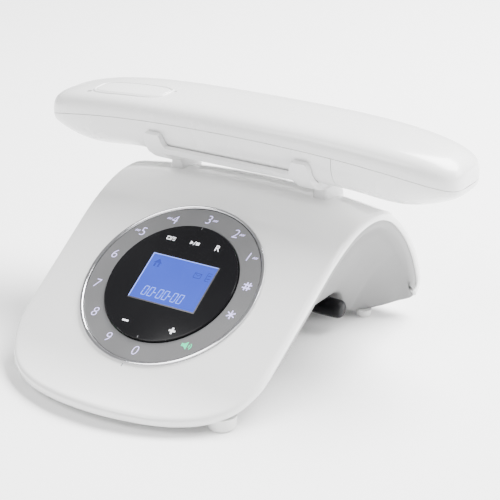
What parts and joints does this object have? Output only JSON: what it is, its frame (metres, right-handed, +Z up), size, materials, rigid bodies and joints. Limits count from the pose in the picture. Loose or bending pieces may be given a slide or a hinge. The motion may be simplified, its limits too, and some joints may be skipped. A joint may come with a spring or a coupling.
{
  "type": "cordless telephone with charging base",
  "caption": "Compact cordless bedroom telephone: an arched white base with a round touch dial and a display, and a wide handset lying across a charging cradle.",
  "frame": {"origin": "on the table, under the middle of the phone without its power lead", "axes": "+X right along the handset, -Y towards the user (front), +Z up"},
  "size_m": [0.2102, 0.2388, 0.0998],
  "materials": {
    "white_shell": "smooth satin gloss",
    "grey_shell": "fine satin",
    "chrome_trim": "polished",
    "silver_ring": "fine metallic satin",
    "black_glass": "polished, printed black behind",
    "light_guide": "clear, frosted",
    "lcd": "display glass",
    "black_plastic": "fine grain",
    "gloss_black": "gloss",
    "circuit_board": "solder mask",
    "tin_shield": "bright tin",
    "steel": "zinc plated",
    "gold_contact": "plated",
    "cell_wrap": "printed wrap",
    "foot_rubber": "matte",
    "aluminium_can": "bright"
  },
  "bodies": {
    "base": {"deck_cover": "white_shell", "lower_housing": "grey_shell", "dial_bezel": "chrome_trim", "dial_ring": "silver_ring", "light_guide": "light_guide", "centre_glass": "black_glass", "dial_tray": "black_plastic", "lcd_frame": "black_plastic", "lcd_panel": "lcd", "lcd_backlight": "light_guide", "touch_board": "circuit_board", "main_board": "circuit_board", "radio_shield": "tin_shield", "power_capacitor": "aluminium_can", "radio_aerial": "gold_contact", "ballast_plate": "steel", "base_microphone": "aluminium_can", "base_speaker": "black_plastic", "line_socket": "black_plastic", "finger_stop_light": "light_guide", "front_feet": "foot_rubber", "rear_feet": "foot_rubber", "housing_screws": "steel", "cradle": "white_shell", "charge_spring_left": "steel", "charge_spring_right": "steel", "charge_contact_plates": "gold_contact", "dc_plug": "gloss_black", "plug_strain_relief": "black_plastic", "dc_socket": "black_plastic", "power_lead": "black_plastic", "lead_tail": "black_plastic", "lead_coil": "black_plastic", "lead_tie": "black_plastic", "adapter_body": "black_plastic", "adapter_pins": "steel", "adapter_strain_relief": "black_plastic"},
    "handset": {"handset_top_shell": "white_shell", "talk_key_rim": "chrome_trim", "handset_contacts": "gold_contact", "handset_lower_shell": "white_shell", "handset_board": "circuit_board", "key_switch": "black_plastic", "ear_receiver": "black_plastic", "handset_microphone": "aluminium_can", "ringer": "black_plastic", "battery_cells": "cell_wrap", "battery_contacts": "steel", "battery_holder": "black_plastic", "handset_screws": "steel"},
    "talk_key": {"talk_key": "white_shell"},
    "battery_cover": {"battery_cover": "white_shell"},
    "charge_pin_left": {"charge_pin_left": "gold_contact"},
    "charge_pin_right": {"charge_pin_right": "gold_contact"}
  },
  "joints": [
    {"name": "handset_lift", "type": "slide", "parent": "base", "child": "handset", "axis": [0, 0, 1], "range_m": [0, 0.13]},
    {"name": "talk_key_press", "type": "slide", "parent": "handset", "child": "talk_key", "axis": [0, 0, -1], "range_m": [0, 0.0008], "stiffness_N_per_m": 400, "springref_m": -0.001},
    {"name": "battery_cover_slide", "type": "slide", "parent": "handset", "child": "battery_cover", "axis": [0.9842, 0, -0.1772], "range_m": [0, 0.06]},
    {"name": "charge_pin_left_press", "type": "slide", "parent": "base", "child": "charge_pin_left", "axis": [0, 0, -1], "range_m": [0, 0.0012], "stiffness_N_per_m": 250, "springref_m": -0.001, "deforming": ["charge_spring_left"]},
    {"name": "charge_pin_right_press", "type": "slide", "parent": "base", "child": "charge_pin_right", "axis": [0, 0, -1], "range_m": [0, 0.0012], "stiffness_N_per_m": 250, "springref_m": -0.001, "deforming": ["charge_spring_right"]}
  ]
}
